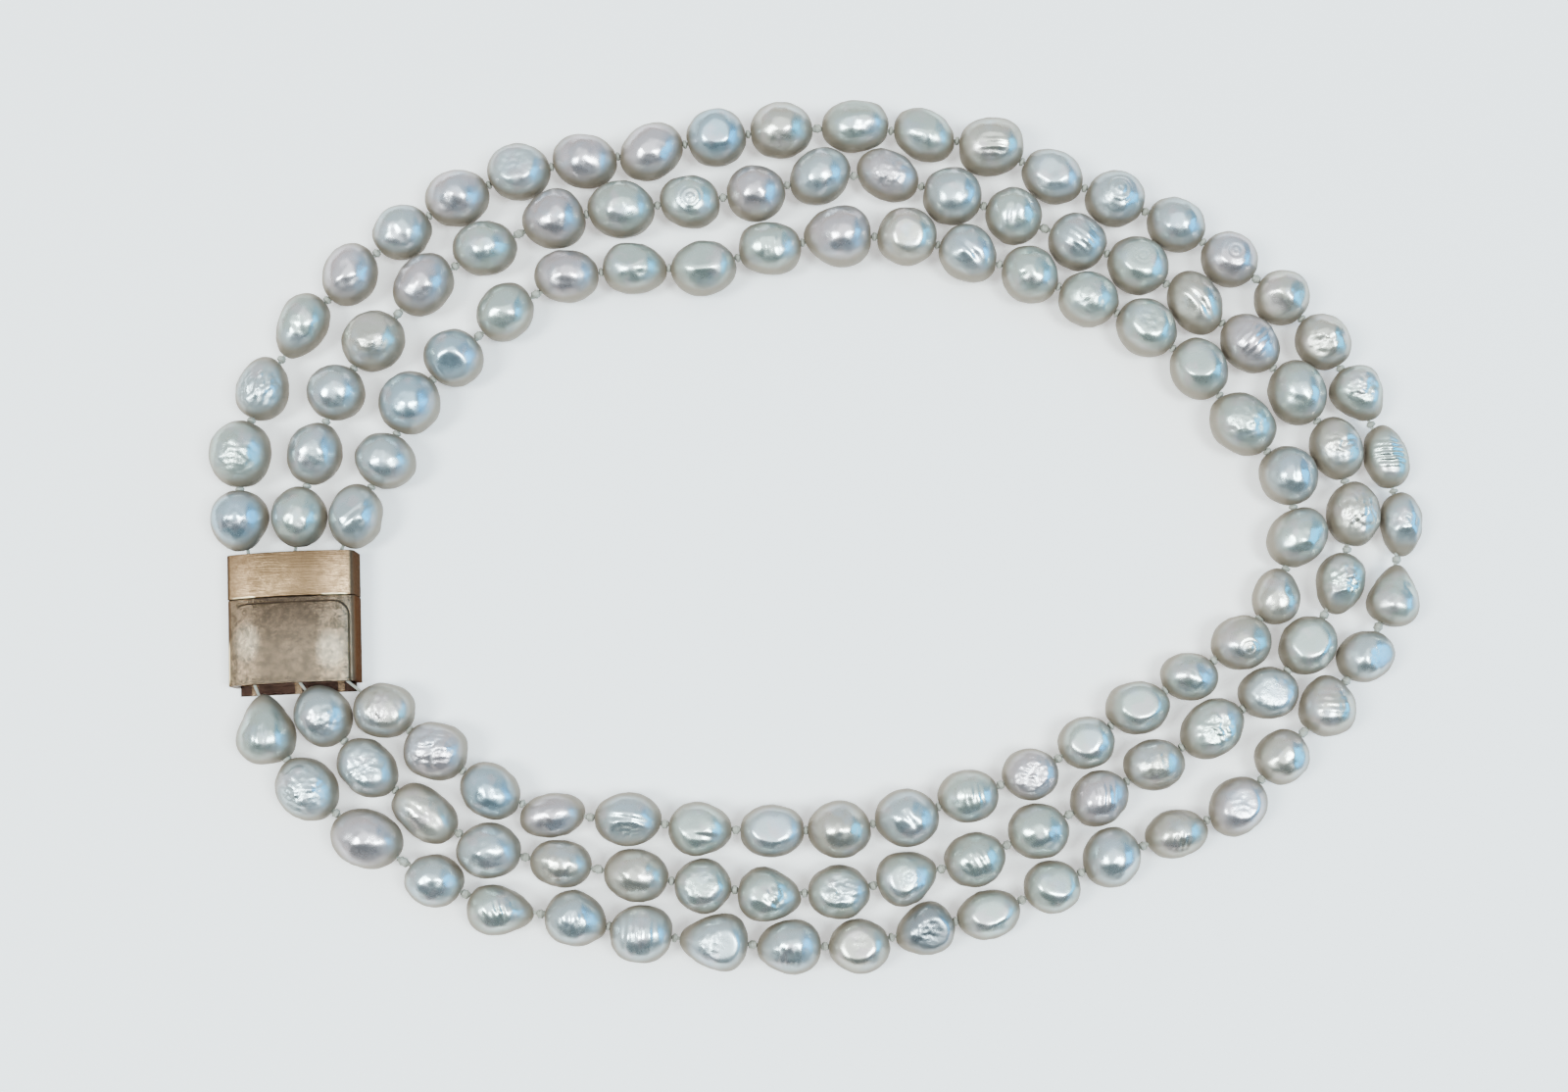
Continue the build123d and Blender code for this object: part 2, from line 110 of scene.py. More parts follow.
OUTER_RELIEF = [Relief(*row) for row in (
    (1, "bump", -0.5, -0.5, 0.25),
    (2, "wrinkles", 0.0, -0.1, 0.75, 0, 0.2),
    (3, "wrinkles", 0.05, 0.0, 0.8, 60, 0.26),
    (6, "dish", 0.0, -0.25, 0.35, 0, 0.15),
    (7, "dish", -0.35, -0.5, 0.3, 0, 0.2),
    (8, "face", -0.05, 0.12, 0.72),
    (8, "hammered", -0.05, 0.12, 0.7, 0, 0.07),
    (11, "face", 0.05, -0.05, 0.55),
    (11, "dish", 0.0, -0.05, 0.5, 0, 0.12),
    (12, "rings", 0.0, -0.75, 0.3, 0, 0.12),
    (13, "face", 0.0, 0.55, 0.5),
    (14, "face", -0.1, 0.35, 0.55),
    (15, "ridges", 0.0, -0.25, 0.45, 90, 0.14),
    (16, "face", -0.1, 0.05, 0.5),
    (16, "dish", -0.1, -0.1, 0.4, 0, 0.12),
    (17, "rings", 0.05, 0.1, 0.5, 0, 0.16),
    (19, "face", 0.0, 0.1, 0.5),
    (19, "rings", 0.05, 0.08, 0.45, 0, 0.12),
    (20, "face", -0.42, -0.42, 0.6),
    (21, "face", -0.4, -0.3, 0.6),
    (21, "hammered", -0.3, -0.25, 0.5, 0, 0.12),
    (21, "bump", 0.12, 0.2, 0.22),
    (22, "wrinkles", 0.0, 0.1, 0.6, 0, 0.22),
    (23, "ridges", 0.05, 0.1, 0.75, 90, 0.3),
    (24, "face", 0.0, -0.5, 0.55),
    (24, "rings", 0.0, 0.1, 0.3, 0, 0.1),
    (26, "face", 0.35, -0.1, 0.5),
    (26, "hammered", 0.35, -0.1, 0.5, 0, 0.05),
    (27, "ridges", 0.0, 0.1, 0.6, 90, 0.1),
    (29, "face", 0.0, 0.1, 0.62),
    (29, "wrinkles", 0.0, 0.1, 0.5, 0, 0.08),
    (30, "ridges", 0.0, -0.4, 0.4, 0, 0.12),
    (31, "face", 0.55, -0.6, 0.4),
    (32, "face", 0.1, 0.2, 0.6),
    (33, "face", 0.0, 0.2, 0.62),
    (34, "face", 0.05, -0.2, 0.62),
    (34, "hammered", 0.05, -0.2, 0.55, 0, 0.08),
    (34, "face", -0.6, 0.75, 0.42),
    (35, "face", -0.05, 0.12, 0.62),
    (35, "wrinkles", 0.0, 0.2, 0.35, 0, 0.08),
    (36, "ridges", 0.0, -0.45, 0.4, 0, 0.14),
    (37, "face", 0.0, -0.05, 0.5),
    (37, "hammered", 0.0, -0.05, 0.5, 0, 0.08),
    (38, "ridges", -0.1, 0.1, 0.7, 0, 0.13),
    (39, "ridges", 0.0, -0.2, 0.4, 0, 0.1),
    (40, "ridges", -0.1, -0.1, 0.45, 20, 0.12),
    (42, "face", 0.0, -0.55, 0.4),
    (43, "wrinkles", 0.0, 0.05, 0.85, 0, 0.26),
    (44, "ridges", 0.0, -0.3, 0.5, 0, 0.08),
)]
MIDDLE_RELIEF = [Relief(*row) for row in (
    (2, "dish", 0.05, -0.3, 0.4, 20, 0.22),
    (2, "bump", -0.2, 0.15, 0.3),
    (4, "face", 0.0, 0.35, 0.6),
    (4, "hammered", 0.0, -0.3, 0.5, 0, 0.1),
    (9, "rings", 0.05, -0.1, 0.42, 0, 0.16),
    (10, "face", 0.0, -0.75, 0.35),
    (12, "hammered", 0.0, 0.0, 0.8, 0, 0.08),
    (13, "dish", 0.0, -0.1, 0.4, 30, 0.2),
    (14, "crease", -0.15, 0.0, 0.6, 80, 0.16),
    (15, "ridges", 0.0, 0.0, 0.6, 50, 0.12),
    (16, "face", 0.0, 0.12, 0.66),
    (16, "rings", 0.05, 0.2, 0.35, 0, 0.04),
    (17, "face", -0.5, -0.35, 0.55),
    (17, "crease", -0.05, -0.08, 0.8, -50, 0.3),
    (18, "ridges", 0.0, 0.0, 0.6, -45, 0.12),
    (20, "wrinkles", 0.0, 0.1, 0.6, 0, 0.18),
    (21, "wrinkles", 0.15, 0.05, 0.8, 80, 0.28),
    (21, "crease", -0.15, -0.1, 0.6, 85, 0.24),
    (22, "wrinkles", -0.05, 0.15, 0.65, 0, 0.26),
    (22, "face", 0.0, -0.6, 0.35),
    (23, "face", -0.1, 0.15, 0.72),
    (24, "wrinkles", 0.05, 0.05, 0.65, 0, 0.26),
    (24, "face", 0.05, 0.05, 0.55),
    (25, "face", 0.0, 0.0, 0.6),
    (25, "wrinkles", 0.0, 0.0, 0.65, 0, 0.24),
    (26, "hammered", 0.0, 0.0, 0.6, 0, 0.05),
    (27, "dish", 0.0, -0.4, 0.45, 0, 0.2),
    (27, "ridges", 0.1, 0.15, 0.5, 0, 0.12),
    (29, "ridges", 0.0, 0.0, 0.5, 30, 0.07),
    (30, "face", 0.05, 0.1, 0.6),
    (30, "rings", 0.05, 0.12, 0.4, 0, 0.05),
    (31, "face", 0.0, 0.2, 0.65),
    (31, "wrinkles", 0.05, 0.2, 0.6, 0, 0.24),
    (31, "face", 0.1, -0.8, 0.35),
    (32, "crease", -0.1, -0.15, 0.6, -35, 0.2),
    (32, "face", 0.1, 0.25, 0.5),
    (32, "wrinkles", 0.3, 0.0, 0.4, -30, 0.16),
    (33, "wrinkles", -0.1, 0.1, 0.6, 0, 0.2),
    (33, "face", -0.05, 0.1, 0.55),
    (33, "face", 0.75, -0.65, 0.35),
    (34, "face", 0.0, -0.6, 0.4),
    (36, "bump", -0.1, 0.0, 0.25),
    (37, "crease", 0.0, 0.1, 0.75, -37, 0.16),
    (38, "face", 0.0, 0.1, 0.55),
    (38, "wrinkles", 0.0, 0.1, 0.6, 0, 0.2),
    (39, "hammered", 0.3, -0.2, 0.5, 0, 0.12),
)]
INNER_RELIEF = [Relief(*row) for row in (
    (1, "face", -0.15, 0.3, 0.6),
    (1, "crease", 0.1, 0.0, 0.6, 40, 0.2),
    (4, "face", 0.05, -0.46, 0.62),
    (5, "face", 0.0, 0.35, 0.55),
    (7, "face", -0.05, 0.3, 0.6),
    (8, "face", 0.0, 0.2, 0.62),
    (8, "face", 0.1, -0.55, 0.5),
    (9, "ridges", 0.0, 0.0, 0.5, 0, 0.07),
    (11, "face", 0.0, -0.15, 0.6),
    (12, "crease", 0.0, -0.1, 0.6, -45, 0.22),
    (14, "hammered", 0.0, 0.0, 0.8, 0, 0.06),
    (15, "face", 0.0, 0.15, 0.6),
    (15, "wrinkles", 0.0, 0.1, 0.45, 0, 0.1),
    (16, "face", -0.15, 0.15, 0.68),
    (17, "hammered", 0.0, 0.0, 0.7, 0, 0.1),
    (18, "ridges", 0.0, 0.0, 0.35, 0, 0.06),
    (21, "rings", 0.1, -0.3, 0.32, 0, 0.22),
    (23, "face", 0.0, 0.15, 0.68),
    (24, "face", -0.1, 0.1, 0.6),
    (25, "face", 0.0, 0.0, 0.68),
    (25, "wrinkles", 0.0, 0.0, 0.7, 0, 0.2),
    (26, "ridges", 0.1, 0.0, 0.5, 10, 0.1),
    (27, "crease", 0.0, 0.0, 0.7, -45, 0.16),
    (27, "face", 0.5, 0.6, 0.35),
    (27, "face", -0.6, -0.5, 0.35),
    (29, "face", 0.0, 0.2, 0.66),
    (30, "face", -0.1, 0.25, 0.55),
    (30, "crease", 0.1, -0.25, 0.5, -5, 0.2),
    (31, "crease", 0.0, 0.05, 0.75, -8, 0.24),
    (31, "face", 0.05, -0.6, 0.62),
    (31, "hammered", 0.0, -0.55, 0.55, 0, 0.07),
    (34, "wrinkles", 0.0, 0.1, 0.75, 0, 0.24),
    (35, "hammered", 0.0, 0.1, 0.6, 0, 0.16),
    (35, "face", 0.1, 0.15, 0.4),
)]
RELIEFS = {"outer": OUTER_RELIEF, "middle": MIDDLE_RELIEF, "inner": INNER_RELIEF}
STRANDS = tuple(RELIEFS)

# One letter a pearl, in fives, from the cap round to the box
OVERTONES = {
    "outer": "bgsgr srsrr bcggc sssrc cggsg sccrc sggdc ssssg srsg",
    "middle": "gsscr grggr srsgs gcrgc cggsg crggg gggcc scss",
    "inner": "ssbbg rgggr csggg ggsgc cgggr gscsg srbrc",
}
TINTS = {
    "s": (0.52, 0.61, 0.64), "g": (0.53, 0.62, 0.58), "r": (0.60, 0.56, 0.59), "b": (0.42, 0.57, 0.66),
    "c": (0.58, 0.57, 0.51), "d": (0.28, 0.32, 0.35),
}


def new_piece(name, mesh, slot, material, *nodes):
    """A finished mesh becomes a piece of the necklace in place of the nodes."""
    piece = bpy.data.objects.new(name, mesh)
    bpy.context.scene.collection.objects.link(piece)
    mesh.materials.append(material)
    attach(piece, "root")
    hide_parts(*nodes)
    return piece


# Helpers for the materials
def add_node(tree, kind, **values):
    """A shader node with its settings and the values of its sockets, each by name."""
    node = tree.nodes.new(kind)
    for name, value in values.items():
        if hasattr(node, name):
            setattr(node, name, value)
        else:
            node.inputs[name.replace("_", " ").title()].default_value = value
    return node


def blank_material(name):
    material = bpy.data.materials.new(name)
    material.use_nodes = True
    tree = material.node_tree
    return material, tree, tree.nodes["Principled BSDF"]


def set_sockets(node, values):
    for name, value in values.items():
        node.inputs[name].default_value = value


def maths(tree, operation, one, other=0.0):
    node = tree.nodes.new("ShaderNodeMath")
    node.operation = operation
    for socket, value in zip(node.inputs, (one, other)):
        if isinstance(value, (int, float)):
            socket.default_value = value
        else:
            tree.links.new(value, socket)
    return node.outputs[0]


def remap(tree, value, low, high, to_low=0.0, to_high=1.0, smooth=True):
    node = tree.nodes.new("ShaderNodeMapRange")
    node.interpolation_type = "SMOOTHSTEP" if smooth else "LINEAR"
    for socket, number in zip(node.inputs[1:5], (low, high, to_low, to_high)):
        socket.default_value = number
    tree.links.new(value, node.inputs[0])
    return node.outputs[0]


def blend_colours(tree, factor, one, other):
    node = tree.nodes.new("ShaderNodeMix")
    node.data_type = "RGBA"
    for socket, value in ((node.inputs[0], factor), (node.inputs[6], one), (node.inputs[7], other)):
        if isinstance(value, (int, float)):
            socket.default_value = value
        elif isinstance(value, tuple):
            socket.default_value = (*value, 1)
        else:
            tree.links.new(value, socket)
    return node.outputs[2]


def attribute(tree, name, output="Fac"):
    node = tree.nodes.new("ShaderNodeAttribute")
    node.attribute_name = name
    return node.outputs[output]


def noise_of(tree, place, scale, detail=2.0, roughness=0.5):
    node = tree.nodes.new("ShaderNodeTexNoise")
    node.inputs["Scale"].default_value = scale
    node.inputs["Detail"].default_value = detail
    node.inputs["Roughness"].default_value = roughness
    tree.links.new(place, node.inputs["Vector"])
    return node.outputs[0]


# The nacre
NACRE_ROSE = (0.72, 0.62, 0.66)
NACRE_BLUE = (0.52, 0.64, 0.76)
# The warm dark tone that a pearl's flanks and underside fade to is painted shade
NACRE_FLANK_SHADE = (0.25, 0.205, 0.155)
TINT_DRIFT = (0.5, 0.68, 0.0, 0.45)
NACRE_METAL, FLANK_METAL = 0.88, 0.5
NACRE_ROUGHNESS = (0.17, 0.25)
# Where on the flank the painted shade fades in, and how strong it gets
FLANK_SHADE_RANGE = (0.12, 0.85, 0.0, 0.96)
SMOOTH_GRAIN, PIT_SHARE = 0.25, 0.12
# Scales of its patterns, in waves a millimetre
DRIFT_SCALE, OTHER_DRIFT_SCALE, PATCHES_SCALE = 0.30, 0.21, 0.8
FINE_SCALE, PITS_SCALE = 2.2, 6.0
# How far apart the pearls sit in those patterns, and how light one is against another
PATTERN_SPREAD = 40
LIGHTNESS = (0.92, 1.06)
FLANK_ROUGHER, WORKED_ROUGHER = 0.4, 0.07


def nacre():
    """Silvery nacre: layers of tint that drift over a pearl, a soft metallic depth and a clear wet coat."""
    material, tree, shader = blank_material("nacre")
    place, tint = attribute(tree, "own_place", "Vector"), attribute(tree, "tint", "Vector")
    flank, skin = attribute(tree, "flank"), attribute(tree, "skin")
    drift = noise_of(tree, place, DRIFT_SCALE, 2.0)
    other_drift = noise_of(tree, place, OTHER_DRIFT_SCALE, 3.0)
    patches = noise_of(tree, place, PATCHES_SCALE, 4.0, 0.6)
    rosy = blend_colours(tree, remap(tree, drift, *TINT_DRIFT), tint, NACRE_ROSE)
    body = blend_colours(tree, remap(tree, other_drift, *TINT_DRIFT), rosy, NACRE_BLUE)
    # Painted shade: the colour darkens and warms down each flank
    painted_shade_body = blend_colours(tree, remap(tree, flank, *FLANK_SHADE_RANGE), body, NACRE_FLANK_SHADE)
    tree.links.new(painted_shade_body, shader.inputs["Base Color"])
    uneven = remap(tree, patches, 0.3, 0.7, *NACRE_ROUGHNESS)
    rough = maths(tree, "ADD", uneven, maths(tree, "MULTIPLY", flank, FLANK_ROUGHER))
    rough = maths(tree, "ADD", rough, maths(tree, "MULTIPLY", skin, WORKED_ROUGHER))
    tree.links.new(rough, shader.inputs["Roughness"])
    tree.links.new(remap(tree, flank, 0.15, 0.9, NACRE_METAL, FLANK_METAL), shader.inputs["Metallic"])
    set_sockets(shader, {"Specular Tint": (0.55, 0.51, 0.45, 1), "Specular IOR Level": 0.5,
                         "Coat Weight": 0.16, "Coat Roughness": 0.05, "Coat IOR": 1.6})
    fine = noise_of(tree, place, FINE_SCALE, 4.0, 0.62)
    pits = noise_of(tree, place, PITS_SCALE, 3.0, 0.6)
    height = maths(tree, "ADD", maths(tree, "MULTIPLY", fine, maths(tree, "ADD", skin, SMOOTH_GRAIN)),
                   maths(tree, "MULTIPLY", pits, PIT_SHARE))
    bump = add_node(tree, "ShaderNodeBump", strength=0.35, distance=0.12 * MM)
    tree.links.new(height, bump.inputs["Height"])
    tree.links.new(bump.outputs[0], shader.inputs["Normal"])
    return material


# The pearls
def loose_parts(node):
    """The points of each pearl of a node, one array for each, in millimetres."""
    mesh = bmesh.new()
    mesh.from_mesh(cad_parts[node].data)
    bmesh.ops.remove_doubles(mesh, verts=mesh.verts, dist=0.001 * MM)
    parts, seen = [], set()
    for start in mesh.verts:
        if start in seen:
            continue
        seen.add(start)
        part, waiting = [], [start]
        while waiting:
            vert = waiting.pop()
            part.append(vert.co / MM)
            for edge in vert.link_edges:
                nearby = edge.other_vert(vert)
                if nearby not in seen:
                    seen.add(nearby)
                    waiting.append(nearby)
        parts.append(np.array(part))
    mesh.free()
    return parts


class Pearl:
    """One pearl of a strand: its middle, its outer skin and the outline that it shows from above."""

    def __init__(self, points):
        self.middle = (points.min(axis=0) + points.max(axis=0)) / 2
        self.half = (points.max(axis=0) - points.min(axis=0)) / 2
        hull = bmesh.new()
        for point in points - self.middle:
            hull.verts.new(point)
        made = bmesh.ops.convex_hull(hull, input=hull.verts)
        bmesh.ops.delete(hull, geom=list(set(made["geom_interior"] + made["geom_unused"])), context="VERTS")
        self.skin = BVHTree.FromBMesh(hull)
        self.rim = np.array([vert.co[:2] for vert in hull.verts])
        hull.free()
        self.holes = []

    def radii(self, ways):
        """How far the skin is from the middle along each way."""
        return np.array([self.skin.ray_cast((0, 0, 0), way)[3] for way in ways])

    def bearing(self):
        """The way round the loop to this pearl, from the clasp."""
        return (pi - atan2(self.middle[1] - CLASP_MIDDLE[1], self.middle[0])) % tau


def strand_pearls(strand):
    parts = [part for half in "ab" for part in loose_parts(f"pearls_{strand}_{half}")]
    return sorted((Pearl(part) for part in parts), key=Pearl.bearing)


def unit(vector):
    return vector / np.linalg.norm(vector)


def ridged(points, seed):
    """A net of soft creases: 1 in the furrows, 0 between them."""
    shift = Vector((seed * 7.3, seed * 3.1, seed * 5.7))
    values = np.array([noise.noise(Vector(p) + shift) for p in points])
    return 1 - np.clip(np.abs(values) * 2.4, 0, 1)


def soft_noise(points, seed):
    shift = Vector((seed * 2.9, seed * 8.3, seed * 4.1))
    return np.array([noise.noise(Vector(p) + shift) for p in points])


def way_to(mark):
    """The way from the pearl's middle to a mark."""
    up = sqrt(max(0.0, 1 - min(1.0, mark.east ** 2 + mark.north ** 2)))
    return unit(np.array((mark.east, mark.north, up)))


def relief_depth(mark, ways, radii, seed):
    """How far one mark pushes the skin in, for every way out from the pearl's middle."""
    toward = way_to(mark)
    cosine = np.clip(ways @ toward, -1, 1)
    away = np.arccos(cosine)
    mask = np.exp(-(away / mark.size / MARK_REACH) ** 6)
    east = unit(np.cross((0, 1, 0), toward))
    north = np.cross(toward, east)
    turn = radians(mark.turn)
    along = ways @ (east * cos(turn) + north * sin(turn))
    across = ways @ (north * cos(turn) - east * sin(turn))
    if mark.form == "face":
        nearest = radii[cosine.argmax()]
        plane = nearest * cos(mark.size * FACE_CUT)
        reach = np.where(cosine > 0.2, plane / np.maximum(cosine, 0.2), 1e3)
        over = (radii - reach) / FACE_EDGE
        return np.where(over > -4, FACE_EDGE * np.log1p(np.exp(np.clip(over, -30, 30))), 0)
    if mark.form == "dish":
        return mark.depth * np.exp(-(away / mark.size) ** 2)
    if mark.form == "bump":
        return -mark.depth * np.exp(-(away / mark.size) ** 2)
    if mark.form == "rings":
        return mark.depth * (0.5 + 0.5 * np.cos(tau * away / (mark.size * RING_SPACING))) * mask
    if mark.form == "ridges":
        wander = RIDGE_WANDER * soft_noise(ways * 2.5, seed)
        return mark.depth * (0.5 + 0.5 * np.sin(tau * (along + wander) / RIDGE_SPACING)) * mask
    if mark.form == "crease":
        bow = CREASE_BOW * along ** 2
        return mark.depth * np.exp(-((across + bow) / CREASE_WIDTH) ** 2) * np.exp(-(along / mark.size) ** 4)
    if mark.form == "wrinkles":
        stretched = np.stack((along, across, ways @ toward), axis=1) * WRINKLE_SPACING
        net = sum(ridged(stretched * scale, seed + layer) * share
                  for layer, (scale, share) in enumerate((WRINKLE_BROAD, WRINKLE_FINE)))
        return FULL_DEPTH * mark.depth * net * mask
    if mark.form == "hammered":
        return FULL_DEPTH * mark.depth * (0.5 + soft_noise(ways * DINTS, seed)) * mask
    raise ValueError(mark.form)


def shape_pearl(pearl, ways, radii, marks, seed):
    """The pearl's skin with its lumps, its marks and the dips of its holes, and how worked each spot is."""
    size = float(pearl.half.max())
    lumps = 0.5 + soft_noise(ways * LUMP_SIZE * 2, seed) + 0.35 * soft_noise(ways * LUMP_SIZE * 5, seed + 3)
    ripples = RIPPLE_DEPTH * (0.5 + soft_noise(ways * size * RIPPLES, seed + 5))
    inward = LUMP_DEPTH * np.clip(lumps, 0, 1.2) + np.clip(ripples, 0, 1)
    worked = np.zeros(len(ways))
    for number, mark in enumerate(marks):
        depth = relief_depth(mark, ways, radii - inward, seed + 10 * number)
        inward = inward + depth
        if mark.form in ("wrinkles", "hammered", "rings"):
            away = np.arccos(np.clip(ways @ way_to(mark), -1, 1))
            worked = np.maximum(worked, np.exp(-(away / mark.size) ** 4))
    for hole in pearl.holes:
        off = np.sqrt(np.maximum(0, 1 - np.clip(ways @ hole, 0, 1) ** 2)) * radii
        inward = inward + np.where(ways @ hole > 0, HOLE_DIP * np.exp(-(off / HOLE_WIDTH) ** 2), 0)
    return ways * (radii - inward)[:, None], worked


def icosphere_edges():
    """The two ends of every edge of a pearl's mesh."""
    ball = bmesh.new()
    bmesh.ops.create_icosphere(ball, subdivisions=PEARL_SUBDIVISIONS, radius=1)
    ball.verts.index_update()
    ends = np.array([[vert.index for vert in edge.verts] for edge in ball.edges]).T
    ball.free()
    return ends


def evened(radii, edges):
    """The radii with the facets of the solid's skin smoothed away."""
    one, other = edges
    neighbours = np.bincount(one, minlength=len(radii)) + np.bincount(other, minlength=len(radii))
    for _ in range(EVENING_PASSES):
        around = (np.bincount(one, weights=radii[other], minlength=len(radii))
                  + np.bincount(other, weights=radii[one], minlength=len(radii)))
        radii = (radii + around / neighbours) / 2
    return radii


def pearl_piece(name, node, pearls, numbers, marks, overtones, material, seed):
    """One half of a strand as a single mesh of shaped pearls."""
    form = bmesh.new()
    places, tints, flanks, skins = [], [], [], []
    edges = icosphere_edges()
    random = Random(seed)
    for number, pearl in zip(numbers, pearls):
        made = bmesh.ops.create_icosphere(form, subdivisions=PEARL_SUBDIVISIONS, radius=1)["verts"]
        ways = np.array([vert.co for vert in made])
        ways /= np.linalg.norm(ways, axis=1)[:, None]
        own = [mark for mark in marks if mark.pearl == number]
        shape, worked = shape_pearl(pearl, ways, evened(pearl.radii(ways), edges), own, seed + number)
        for vert, point in zip(made, (shape + pearl.middle) * MM):
            vert.co = point
        offset = np.array([random.uniform(-PATTERN_SPREAD, PATTERN_SPREAD) for _ in range(3)])
        places.append(shape + offset)
        lightness = random.uniform(*LIGHTNESS)
        tints.append(np.tile(np.array(TINTS[overtones[number - 1]]) * lightness, (len(ways), 1)))
        # How far down its flank each point is, where the nacre paints shade and roughens
        flanks.append(np.clip((FLANK_TOP - ways[:, 2]) / (FLANK_TOP - FLANK_FULL), 0, 1))
        skins.append(worked)
    mesh = bpy.data.meshes.new(name)
    form.to_mesh(mesh)
    form.free()
    for label, kind, values in (
        ("own_place", "FLOAT_VECTOR", places), ("tint", "FLOAT_VECTOR", tints),
        ("flank", "FLOAT", flanks), ("skin", "FLOAT", skins),
    ):
        field = mesh.attributes.new(label, kind, "POINT").data
        numbers_flat = np.concatenate(values).ravel().astype(np.float32)
        field.foreach_set("vector" if kind == "FLOAT_VECTOR" else "value", numbers_flat)
    mesh.shade_smooth()
    return new_piece(name, mesh, "pearl", material, node)


# The silk and its knots
SILK_TONES = (0.35, 0.36, 0.32), (0.24, 0.24, 0.20)
DUST_SCALE, FIBRE_SCALE = 900.0, 5200.0  # in waves a metre


def air(one, other, spread=pi / 3, ways=25):
    """The air between two pearls from above, the way across it, and how far the first reaches that way."""
    line = (other.middle - one.middle)[:2]
    heading = atan2(line[1], line[0])
    angles = heading + np.linspace(-spread, spread, ways)
    compass = np.stack((np.cos(angles), np.sin(angles)), axis=1)
    near_side = (one.rim @ compass.T).max(axis=0)
    gaps = compass @ line - near_side - (-other.rim @ compass.T).max(axis=0)
    best = int(gaps.argmax())
    return gaps[best], compass[best], near_side[best]


def on_clasp(x, y, z):
    """A point of the clasp's own axes, on the table."""
    turn = radians(CLASP_TURN)
    east = CLASP_MIDDLE[0] + x * cos(turn) - y * sin(turn)
    north = CLASP_MIDDLE[1] + x * sin(turn) + y * cos(turn)
    return np.array((east, north, z))


def knot_middles(pearls):
    """Where each knot is, the way of the thread through it, and the air that it sits in."""
    knots = []
    for one, other in zip(pearls, pearls[1:]):
        line = other.middle - one.middle
        gap, way, reach = air(one, other)
        share = (reach + gap / 2) / (line[:2] @ way)
        knots.append((one.middle + line * share, unit(line), float(gap)))
    return knots


def add_spline(curve, points, width, closed=False):
    spline = curve.splines.new("NURBS")
    spline.points.add(len(points) - 1)
    for point, place in zip(spline.points, points):
        point.co = (*[c * MM for c in place], 1)
        point.radius = width / 2
    spline.order_u = 4 if len(points) > 3 else len(points)
    spline.use_cyclic_u = closed
    spline.use_endpoint_u = not closed


def silk_curve(name):
    curve = bpy.data.curves.new(name, "CURVE")
    curve.dimensions = "3D"
    curve.bevel_depth = MM
    curve.bevel_resolution = 2
    curve.resolution_u = 3
    return curve


def square_to(way):
    """Two unit vectors square to a way and to each other, the first one level."""
    level = unit(np.array((-way[1], way[0], 0.0)))
    return level, np.cross(way, level)


def knot_path(middle, way, along, turn):
    """A knot of silk pulled tight: turns wound round the thread, tucked in at both ends."""
    level, upright = square_to(way)
    reach = (KNOT_ACROSS - SILK_WIDTH) / 2
    path = []
    for step in range(KNOT_STEPS + 1):
        t = step / KNOT_STEPS
        angle = turn + tau * KNOT_TURNS * t
        out = reach * (0.3 + 0.7 * sin(pi * t) ** 0.5)
        path.append(middle + (level * cos(angle) + upright * sin(angle)) * out
                    + way * (t - 0.5) * max(0.0, along - SILK_WIDTH))
    return path


def knot_length(gap):
    return min(KNOT_ALONG, max(KNOT_SQUEEZED, gap + KNOT_BITE))


def strand_silk(name, node, pearls, eyes, material):
    """The two silk strands of one string, the knots between its pearls, and a loop at each end."""
    knots = knot_middles(pearls)
    curve = silk_curve(name)
    stops = [eyes[0]] + [middle for middle, _, _ in knots] + [eyes[1]]
    for side in (-1, 1):
        path = []
        for start, end in zip(stops, stops[1:]):
            way = unit(end - start)
            level, upright = square_to(way)
            for step in range(TWIST_STEPS):
                t = step / TWIST_STEPS
                wind = side * (level * cos(pi * t) + upright * sin(pi * t)) * SILK_APART / 2
                path.append(start + (end - start) * t + wind)
            side = -side
        path.append(stops[-1])
        add_spline(curve, path, STRAND_WIDTH)
    for number, (middle, way, gap) in enumerate(knots):
        add_spline(curve, knot_path(middle, way, knot_length(gap), number * 0.7), SILK_WIDTH)
    for eye in eyes:
        for lift in (-1, 1):
            angles = [tau * step / LOOP_STEPS for step in range(LOOP_STEPS)]
            ring = [eye + np.array((cos(angle) * EYE_LOOP, sin(angle) * EYE_LOOP, lift * SILK_APART / 2))
                    for angle in angles]
            add_spline(curve, ring, STRAND_WIDTH, closed=True)
    maker = bpy.data.objects.new(name, curve)
    bpy.context.scene.collection.objects.link(maker)
    bpy.context.view_layer.update()
    mesh = bpy.data.meshes.new_from_object(maker.evaluated_get(bpy.context.evaluated_depsgraph_get()))
    bpy.data.objects.remove(maker)
    form = bmesh.new()
    form.from_mesh(mesh)
    for middle, way, gap in knots:
        core = bmesh.ops.create_icosphere(form, subdivisions=2, radius=KNOT_ACROSS * KNOT_CORE * MM)["verts"]
        stretch = knot_length(gap) / KNOT_ACROSS
        for vert in core:
            out = Vector(way) * vert.co.dot(Vector(way))
            vert.co = vert.co - out + out * stretch + Vector(middle * MM)
    form.to_mesh(mesh)
    form.free()
    mesh.shade_smooth()
    return new_piece(name, mesh, "thread", material, node)


def silk():
    """White silk, slightly yellowed, with its fibres laid along the strand."""
    material, tree, shader = blank_material("silk")
    coordinates = tree.nodes.new("ShaderNodeTexCoord").outputs["Object"]
    dust = noise_of(tree, coordinates, DUST_SCALE, 3.0)
    tone = blend_colours(tree, remap(tree, dust, 0.35, 0.7), *SILK_TONES)
    tree.links.new(tone, shader.inputs["Base Color"])
    fibres = noise_of(tree, coordinates, FIBRE_SCALE, 2.0)
    bump = add_node(tree, "ShaderNodeBump", strength=0.5, distance=0.05 * MM)
    tree.links.new(fibres, bump.inputs["Height"])
    tree.links.new(bump.outputs[0], shader.inputs["Normal"])
    set_sockets(shader, {"Roughness": 0.55, "Sheen Weight": 0.15, "Sheen Roughness": 0.4})
    return material
